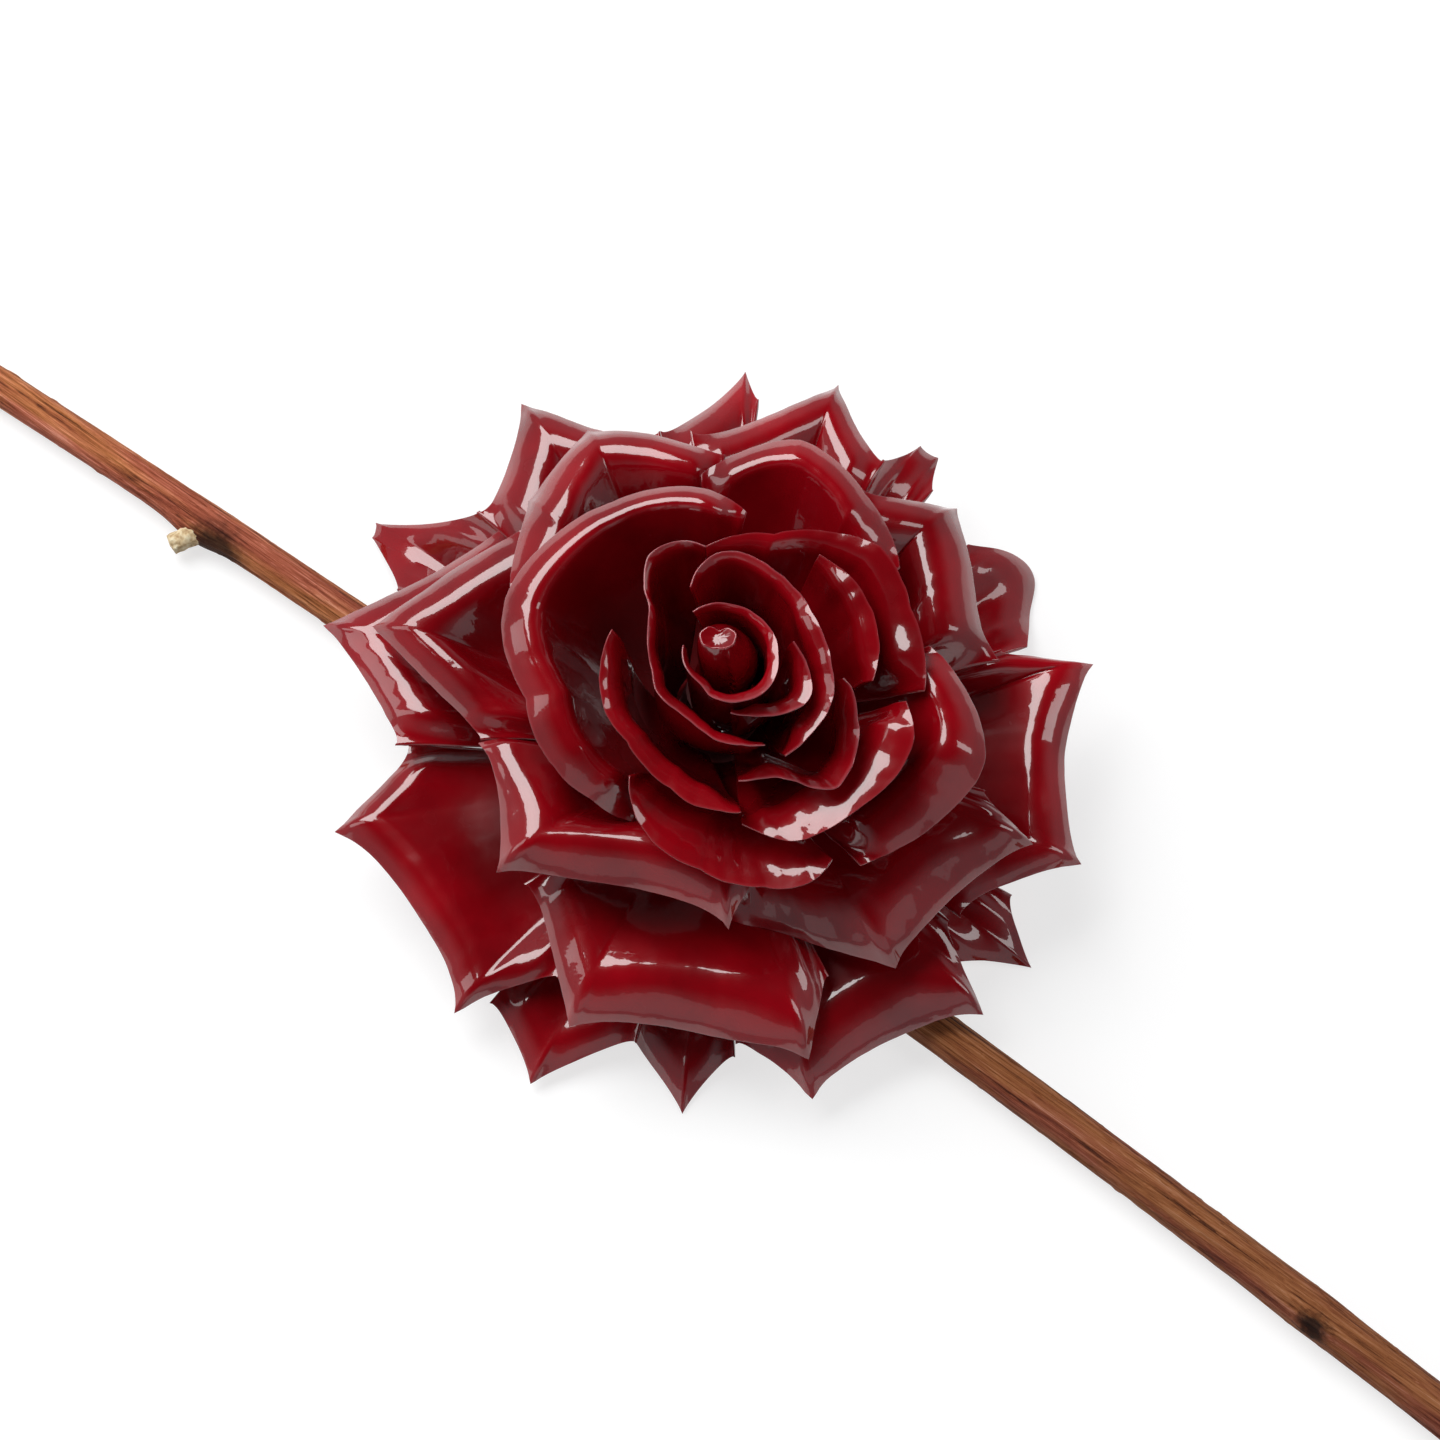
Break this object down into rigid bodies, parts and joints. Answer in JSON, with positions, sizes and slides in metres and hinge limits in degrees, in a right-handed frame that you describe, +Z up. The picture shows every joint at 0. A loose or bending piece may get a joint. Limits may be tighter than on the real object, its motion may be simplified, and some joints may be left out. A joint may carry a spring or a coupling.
{
  "type": "crepe paper rose",
  "caption": "Glossy dark red crepe paper rose dipped in wax, with pointed rolled-back petals, bound to a natural brown twig that passes behind it.",
  "frame": {"origin": "middle of the overall box, on the table under the object", "axes": "+X along the twig towards its thicker cut end, +Z up out of the open bloom, +Y from the twig towards the bloom's axis"},
  "size_m": [0.2772, 0.102, 0.0601],
  "materials": {
    "wax_red": "deep red crepe paper under a thick glossy coat of wax",
    "core_paper": "wound red paper, dull",
    "bark": "natural fibrous bark, satin",
    "green_wire": "green painted florist wire",
    "floral_tape": "brown stretched paper tape, matt"
  },
  "bodies": {
    "root": {"core": "core_paper", "heart": "wax_red", "petal_fifth_back": "wax_red", "petal_fifth_front": "wax_red", "petal_fifth_left": "wax_red", "petal_fifth_right": "wax_red", "petal_fourth_front_left": "wax_red", "petal_fourth_front_right": "wax_red", "petal_heart_inner": "wax_red", "petal_heart_outer": "wax_red", "petal_inner_front_right": "wax_red", "petal_inner_left": "wax_red", "petal_inner_right": "wax_red", "petal_outer_back": "wax_red", "petal_outer_back_right": "wax_red", "petal_outer_front": "wax_red", "petal_outer_front_left": "wax_red", "petal_outer_front_right": "wax_red", "petal_outer_left": "wax_red", "petal_outer_right": "wax_red", "petal_second_back": "wax_red", "petal_second_front": "wax_red", "petal_second_front_right": "wax_red", "petal_second_left": "wax_red", "petal_second_right": "wax_red", "petal_sixth_back_left": "wax_red", "petal_sixth_back_right": "wax_red", "petal_sixth_front_left": "wax_red", "petal_sixth_front_right": "wax_red", "petal_sixth_left": "wax_red", "petal_sixth_right": "wax_red", "petal_third_back": "wax_red", "petal_third_left": "wax_red", "petal_third_right": "wax_red", "tape": "floral_tape", "twig": "bark", "wire": "green_wire"}
  },
  "joints": []
}
